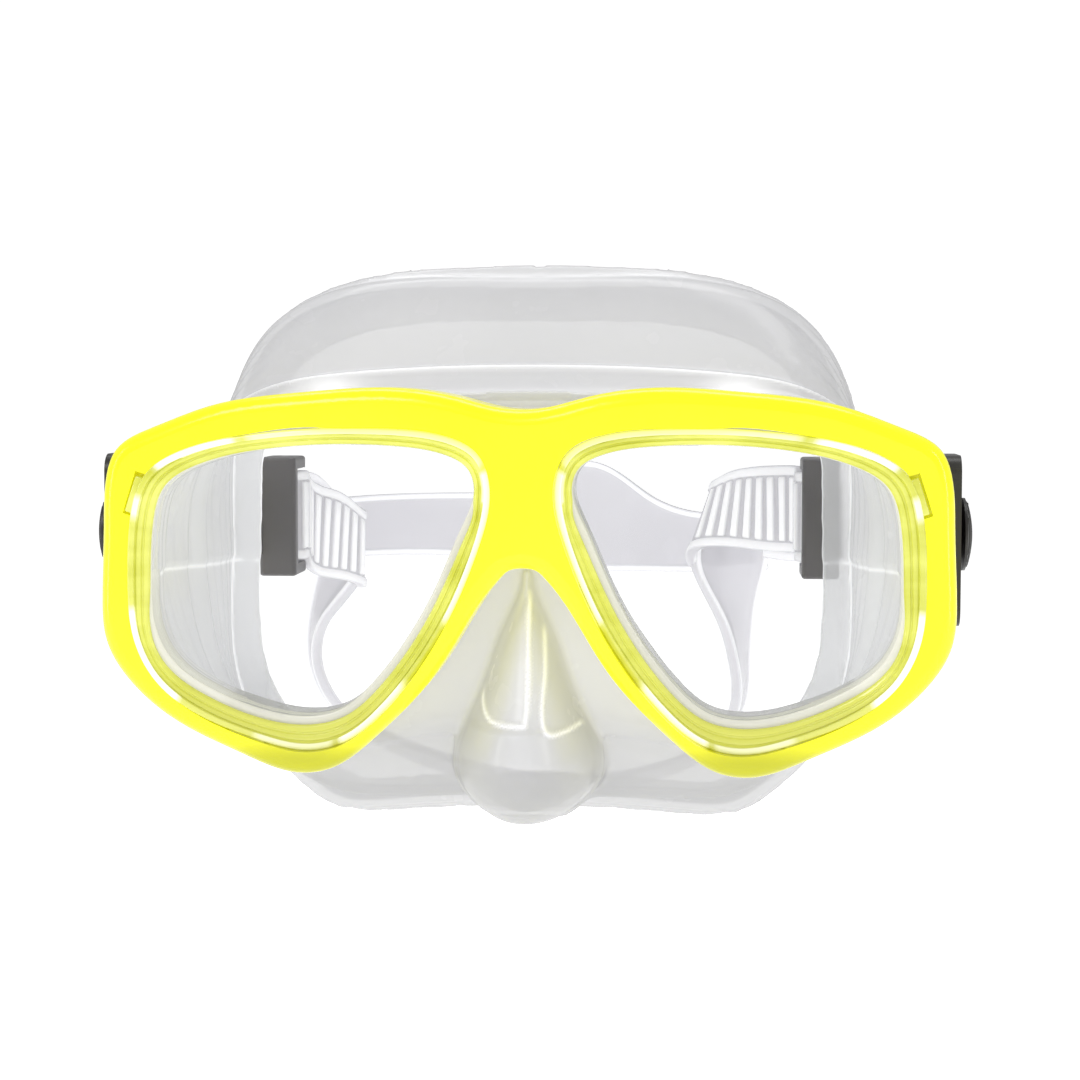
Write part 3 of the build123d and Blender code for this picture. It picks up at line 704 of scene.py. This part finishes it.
def build_skirt():
    """The soft skirt, remeshed from the plain CAD wall and then shaped."""
    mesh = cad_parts["skirt"].data.copy()
    skirt = bpy.data.objects.new("silicone_skirt", mesh)
    bpy.context.scene.collection.objects.link(skirt)
    remesh = skirt.modifiers.new("even", "REMESH")
    remesh.mode = "VOXEL"
    remesh.voxel_size = VOXEL * MM
    remesh.adaptivity = 0.0
    apply_modifiers(skirt)
    mesh = skirt.data
    edges = values_of(mesh.edges, "vertices", 2, int)
    points = relaxed(values_of(mesh.vertices, "co", 3) / MM, edges, RELAX_WHOLE)
    mesh.vertices.foreach_set("co", (points * MM).ravel())
    mesh.update()
    normals = relaxed(values_of(mesh.vertex_normals, "vector", 3), edges, RELAX_NORMALS)
    shift, painted_gleam, veil_and_painted_glow = skirt_shape(points, normals)
    # Store the painted highlights and the veil with its painted glow for the material.
    paint(skirt, "painted_gleam", painted_gleam)
    paint(skirt, "veil_and_painted_glow", veil_and_painted_glow)
    points = even_rim(points + shift)
    at_rim = smooth(-4.5, -2.5, behind_face(points)) * smooth(24, 30, reach_and_way(points)[0])
    points += at_rim[:, None] * (relaxed(points, edges, RELAX_RIM) - points)
    mesh.vertices.foreach_set("co", (points * MM).ravel())
    mesh.update()
    shade_smooth(mesh)
    mesh.materials.clear()
    mesh.materials.append(SKIRT)
    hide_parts("skirt")
    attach(skirt, "mask")


# ---- strap --------------------------------------------------------------------------------
RIB_PITCH = 2.9
RIB_HEIGHT = 0.8
WEB = 0.8  # half the thickness of the strap between its ribs
RIM = 0.5  # how far the rims stand proud of the web, on each face
WRAP_R = 4.1  # of the strap's middle, round the roller
STRAP_HALF = 10
RIBS_START = 2
RIBS_END = {"right": 69, "left": 61.5}

# Stations along each piece of the strap: a point on one edge, then a point on the other.
# The ribbed ends: from behind the roller to the fold, and into the fork.
END_STATIONS = {
    "right": [
        ((55.9, 43.0, 18.8), (55.9, 43.0, -0.9)), ((51.2, 46.2, 19.1), (51.6, 47.0, -0.4)),
        ((45.0, 49.6, 18.6), (44.0, 51.0, 0.1)), ((40.2, 53.0, 17.2), (37.0, 54.8, 0.2)),
        ((37.3, 56.8, 14.8), (31.9, 58.6, -1.4)), ((37.8, 61.4, 13.4), (31.6, 62.6, -5.0)),
        ((41.4, 67.0, 11.8), (35.4, 67.4, -7.0)), ((46.4, 75.0, 9.6), (43.0, 75.0, -7.5)),
    ],
    "left": [
        ((55.9, 43.0, 16.6), (55.9, 43.0, -3.4)), ((53.9, 45.6, 14.6), (54.8, 46.0, -5.8)),
        ((50.4, 49.0, 13.2), (51.8, 50.0, -7.2)), ((47.3, 52.8, 10.8), (48.4, 53.8, -8.2)),
        ((45.5, 56.8, 8.2), (45.8, 57.6, -9.8)), ((45.8, 61.0, 7.8), (46.0, 61.6, -10.4)),
        ((48.2, 66.0, 8.6), (48.4, 66.6, -8.4)), ((53.6, 74.0, 9.2), (53.6, 74.0, -6.4)),
    ],
}
TAIL_STATIONS = {
    "right": [
        ((49.0, 58.6, 14.4), (48.6, 59.2, -2.6)), ((53.4, 56.6, 16.4), (53.2, 57.0, -3.2)),
        ((59.2, 52.6, 17.2), (59.2, 52.8, -3.0)), ((63.2, 47.0, 17.8), (63.2, 47.0, -2.4)),
    ],
    "left": [
        ((52.4, 59.6, 12.4), (52.8, 59.8, 0.6)), ((55.8, 57.2, 16.2), (55.8, 57.2, -1.0)),
        ((60.2, 52.8, 17.4), (60.2, 52.8, -1.8)), ((63.4, 47.0, 18.0), (63.4, 47.0, -2.0)),
    ],
}
UPPER_STATIONS = [
    ((41.6, 67.2, 12.0), (36.6, 67.6, -6.6)), ((46.4, 74.6, 10.4), (45.2, 74.8, -6.6)),
    ((49.0, 84.0, 8.4), (48.8, 84.0, -7.6)), ((47.4, 95.0, 6.6), (47.4, 95.0, -9.0)),
    ((41.6, 104.6, 5.2), (41.6, 104.6, -10.0)), ((33.0, 111.6, 4.8), (33.0, 111.6, -10.5)),
    ((21.0, 116.6, 8.6), (21.0, 116.6, -10.8)), ((11.0, 118.8, 15.4), (11.0, 118.8, -11.0)),
    ((4.0, 119.2, 17.4), (4.0, 119.2, -11.0)), ((-3.0, 119.0, 15.4), (-3.0, 119.0, -10.4)),
    ((-13.0, 118.0, 10.6), (-13.0, 118.0, -9.0)), ((-26.0, 115.4, 9.3), (-26.0, 115.4, -7.2)),
    ((-41.0, 108.0, 9.4), (-41.0, 108.0, -6.2)), ((-51.6, 97.0, 9.3), (-51.6, 97.0, -5.8)),
    ((-57.2, 85.0, 9.0), (-57.2, 85.0, -5.6)), ((-53.8, 74.0, 8.8), (-53.8, 74.0, -6.0)),
    ((-48.4, 66.2, 8.4), (-48.6, 66.6, -8.0)),
]
LOWER_STATIONS = [
    ((49.4, 76.0, 4.0), (32.0, 62.0, -1.0)), ((49.2, 76.6, -4.4), (32.2, 61.6, -5.4)),
    ((47.0, 77.6, -13.0), (35.6, 62.4, -12.6)), ((45.6, 78.4, -21.0), (39.0, 63.6, -19.4)),
    ((44.8, 79.0, -29.0), (41.4, 64.4, -27.8)), ((43.8, 79.3, -38.6), (42.0, 64.6, -37.6)),
    ((37.6, 79.3, -48.6), (36.6, 64.6, -47.8)), ((24.0, 79.3, -55.2), (24.0, 64.6, -54.8)),
    ((4.0, 79.3, -58.4), (4.0, 64.6, -58.0)), ((-20.0, 79.3, -55.8), (-20.0, 64.6, -55.4)),
    ((-42.0, 79.3, -48.6), (-40.6, 64.8, -48.2)), ((-55.6, 79.3, -40.4), (-52.6, 65.8, -39.0)),
    ((-60.6, 79.0, -29.0), (-57.4, 66.8, -28.4)), ((-60.2, 78.0, -18.6), (-56.0, 66.0, -20.4)),
    ((-58.2, 76.4, -9.0), (-51.8, 62.6, -15.0)), ((-56.4, 74.6, -1.0), (-47.0, 60.8, -9.4)),
]


def ribbon(name, stations, rim_width, ribs=None):
    """A strap between two edges; ribs gives the places and the side that carries ribs.

    stations holds pairs of points; ribs is (side, start, end) in millimetres along the strap.
    """
    rows = evenly(spline([(*one, *other) for one, other in stations], 24), 0.3 if ribs else 0.8)
    centre, half = (rows[:, :3] + rows[:, 3:]) / 2, (rows[:, :3] - rows[:, 3:]) / 2
    along = np.concatenate([[0], np.cumsum(np.linalg.norm(np.diff(centre, axis=0), axis=1))])
    ahead = np.gradient(centre, axis=0)
    face = np.cross(half, ahead)
    face /= np.linalg.norm(face, axis=1)[:, None]
    share = np.zeros(len(centre))
    if ribs:
        side, start, end = ribs
        face *= side
        share = smooth(start, start + 1, along) * (1 - smooth(end - 2, end, along))
        share *= smooth(-0.3, 0.1, np.sin(tau * along / RIB_PITCH))
    edge = WEB + RIM
    points, painted_gleams = [], []
    for middle, up, out, rib in zip(centre, half, face, share):
        w = np.linalg.norm(up)
        # Painted highlight: the third number of each section point whitens the rims' tops and the rib
        # crests.
        rim = [
            (w, edge - 0.5, 0), (w - 0.2, edge - 0.12, 0.4), (w - 0.55, edge, 0.8),
            (w - rim_width, edge, 0.8), (w - rim_width - 0.4, WEB, 0),
        ]
        deep = w - rim_width - 0.9
        ribbed = [*rim, (deep, WEB + RIB_HEIGHT * rib, rib), (0.4 * w, WEB + RIB_HEIGHT * rib, rib)]
        plain = [*rim, (0.4 * w, WEB, 0)]
        outer = ribbed + [(-v, t, g) for v, t, g in reversed(ribbed)]
        inner = plain + [(-v, t, g) for v, t, g in reversed(plain)]
        section = outer + [(v, -t, g) for v, t, g in reversed(inner)]
        points.extend(middle + up / w * v + out * t for v, t, _ in section)
        painted_gleams.extend(g for _, _, g in section)
    size = len(section)
    faces = grid_faces(len(centre), size)
    last = (len(centre) - 1) * size
    faces.append(tuple(reversed(range(size))))
    faces.append(tuple(range(last, last + size)))
    piece = mesh_object(name, points, faces, STRAP)
    paint(piece, "painted_gleam", painted_gleams)
    return piece


def end_stations(name, side):
    """Tail, half turn round the roller and ribbed end of one side, as stations."""
    x, y = ROLLER
    turn = []
    for a in np.linspace(0, pi, 9):
        place = (x + WRAP_R * cos(a), y - WRAP_R * sin(a))
        low, high = STRAP_CENTRE_Z - STRAP_HALF, STRAP_CENTRE_Z + STRAP_HALF
        turn.append(((*place, high), (*place, low)))
    stations = TAIL_STATIONS[name] + turn + END_STATIONS[name]
    return [tuple((side * px, py, pz) for px, py, pz in pair) for pair in stations]


def build_strap():
    """Two ribbed ends with the upper and the lower band between them."""
    pieces = []
    for name, side in SIDES:
        ribs = (side, RIBS_START, RIBS_END[name])
        pieces.append(ribbon(f"strap_end_{name}", end_stations(name, side), 1.9, ribs))
    pieces.append(ribbon("upper_band", UPPER_STATIONS, 1.2))
    pieces.append(ribbon("lower_band", LOWER_STATIONS, 1.5))
    strap = joined("silicone_strap", pieces)
    shade_smooth(strap.data)
    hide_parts("strap")
    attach(strap, "buckle_right")


# ---- thumb pads ---------------------------------------------------------------------------
PAD_R = 7.0
PAD_RISE = 1.2
PAD_MIDDLE = 7.2  # from the lever's front end
GRIP_COUNT = 9
GRIP_PITCH = 1.45
GRIP_RADII = (0.28, 0.3)
GRIP_REACH = 0.93  # share of the pad's width that a ridge crosses


def build_grips():
    """Fine upright ridges over each lever's domed thumb pad."""
    low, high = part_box("release_lever_right")
    top = high.x / MM
    middle_y = low.y / MM + PAD_MIDDLE
    dome = (PAD_R**2 + PAD_RISE**2) / (2 * PAD_RISE)
    turns = np.linspace(0, tau, 8, endpoint=False)
    ring = [(GRIP_RADII[0] * cos(a), GRIP_RADII[1] * sin(a)) for a in turns]
    for name, side in SIDES:
        ridges = []
        for k in range(GRIP_COUNT):
            dy = (k - (GRIP_COUNT - 1) / 2) * GRIP_PITCH
            reach = (PAD_R**2 - dy**2) ** 0.5 * GRIP_REACH
            z = np.linspace(-reach, reach, 15)
            x = top - dome + np.sqrt(dome**2 - dy**2 - z**2)
            path = np.column_stack([x, np.full_like(x, middle_y + dy), z + HUB_Z])
            points = [(px * side + side * u, py + v, pz) for px, py, pz in path for u, v in ring]
            faces = grid_faces(len(path), len(ring))
            faces.append(tuple(reversed(range(len(ring)))))
            faces.append(tuple(range(len(points) - len(ring), len(points))))
            ridges.append(mesh_object("ridge", points, faces, BLACK))
        grip = joined(f"thumb_grip_{name}", ridges)
        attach(grip, f"lever_{name}")


# ---- stage: floor, light, camera ------------------------------------------------------------
FLOOR_DROP = 0.03
FLOOR_REACH = 8.0


def build_stage():
    """A plain pale floor a little way below the part."""
    floor_z = cad_box[0][2] - FLOOR_DROP
    mesh = bpy.data.meshes.new("floor")
    reach = FLOOR_REACH
    corners = [(x * reach, y * reach, floor_z) for x, y in ((-1, -1), (1, -1), (1, 1), (-1, 1))]
    mesh.from_pydata(corners, [], [(0, 1, 2, 3)])
    mesh.materials.append(floor_paint())
    floor = bpy.data.objects.new("floor", mesh)
    bpy.context.scene.collection.objects.link(floor)


def area_light(name, place, aim, size, power):
    """A softbox at place, turned towards aim; size is in metres and power in watts."""
    light = bpy.data.lights.new(name, "AREA")
    light.shape = "RECTANGLE"
    light.size, light.size_y = size
    light.energy = power
    lamp = bpy.data.objects.new(name, light)
    lamp.location = place
    lamp.rotation_euler = (Vector(aim) - Vector(place)).to_track_quat("-Z", "Y").to_euler()
    bpy.context.scene.collection.objects.link(lamp)


def build_light():
    """White surroundings for the camera, a softer grey world for the light, and softboxes."""
    world = bpy.data.worlds.new("studio")
    world.use_nodes = True
    tree = world.node_tree
    tree.nodes.clear()
    seen = make(tree, "ShaderNodeBackground", {"Color": (1, 1, 1, 1), "Strength": 1.05}).outputs[0]
    fill = make(tree, "ShaderNodeBackground", {"Color": (1, 1, 1, 1), "Strength": 0.5}).outputs[0]
    camera_ray = make(tree, "ShaderNodeLightPath").outputs["Is Camera Ray"]
    both = make(tree, "ShaderNodeMixShader", {0: camera_ray, 1: fill, 2: seen}).outputs[0]
    output = make(tree, "ShaderNodeOutputWorld")
    tree.links.new(both, output.inputs["Surface"])
    bpy.context.scene.world = world
    middle = (0, -0.01, 0)
    area_light("key", (-0.35, -0.75, 0.55), middle, (0.45, 0.3), 2.4)
    area_light("strip_right", (0.7, -0.35, 0.15), middle, (0.08, 0.6), 0.9)
    area_light("strip_left", (-0.7, -0.3, 0.1), middle, (0.08, 0.6), 0.8)
    area_light("top", (0.05, 0.12, 0.65), middle, (0.7, 0.16), 1.4)


def build_camera():
    """A long lens from the front, a little above and to the right."""
    lens = bpy.data.cameras.new("view")
    lens.lens = 78.33
    lens.sensor_width = 36.0
    lens.clip_start = 0.01
    camera = bpy.data.objects.new("view", lens)
    place, aim = Vector((0.03451, -0.48581, 0.03929)), Vector((0.0032, -0.038, 0.0079))
    camera.location = place
    camera.rotation_euler = (aim - place).to_track_quat("-Z", "Y").to_euler()
    bpy.context.scene.collection.objects.link(camera)
    bpy.context.scene.camera = camera
    bpy.context.scene.view_settings.view_transform = "Standard"


paint_cad_nodes()
build_rings()
build_skirt()
build_strap()
build_grips()
build_stage()
build_light()
build_camera()
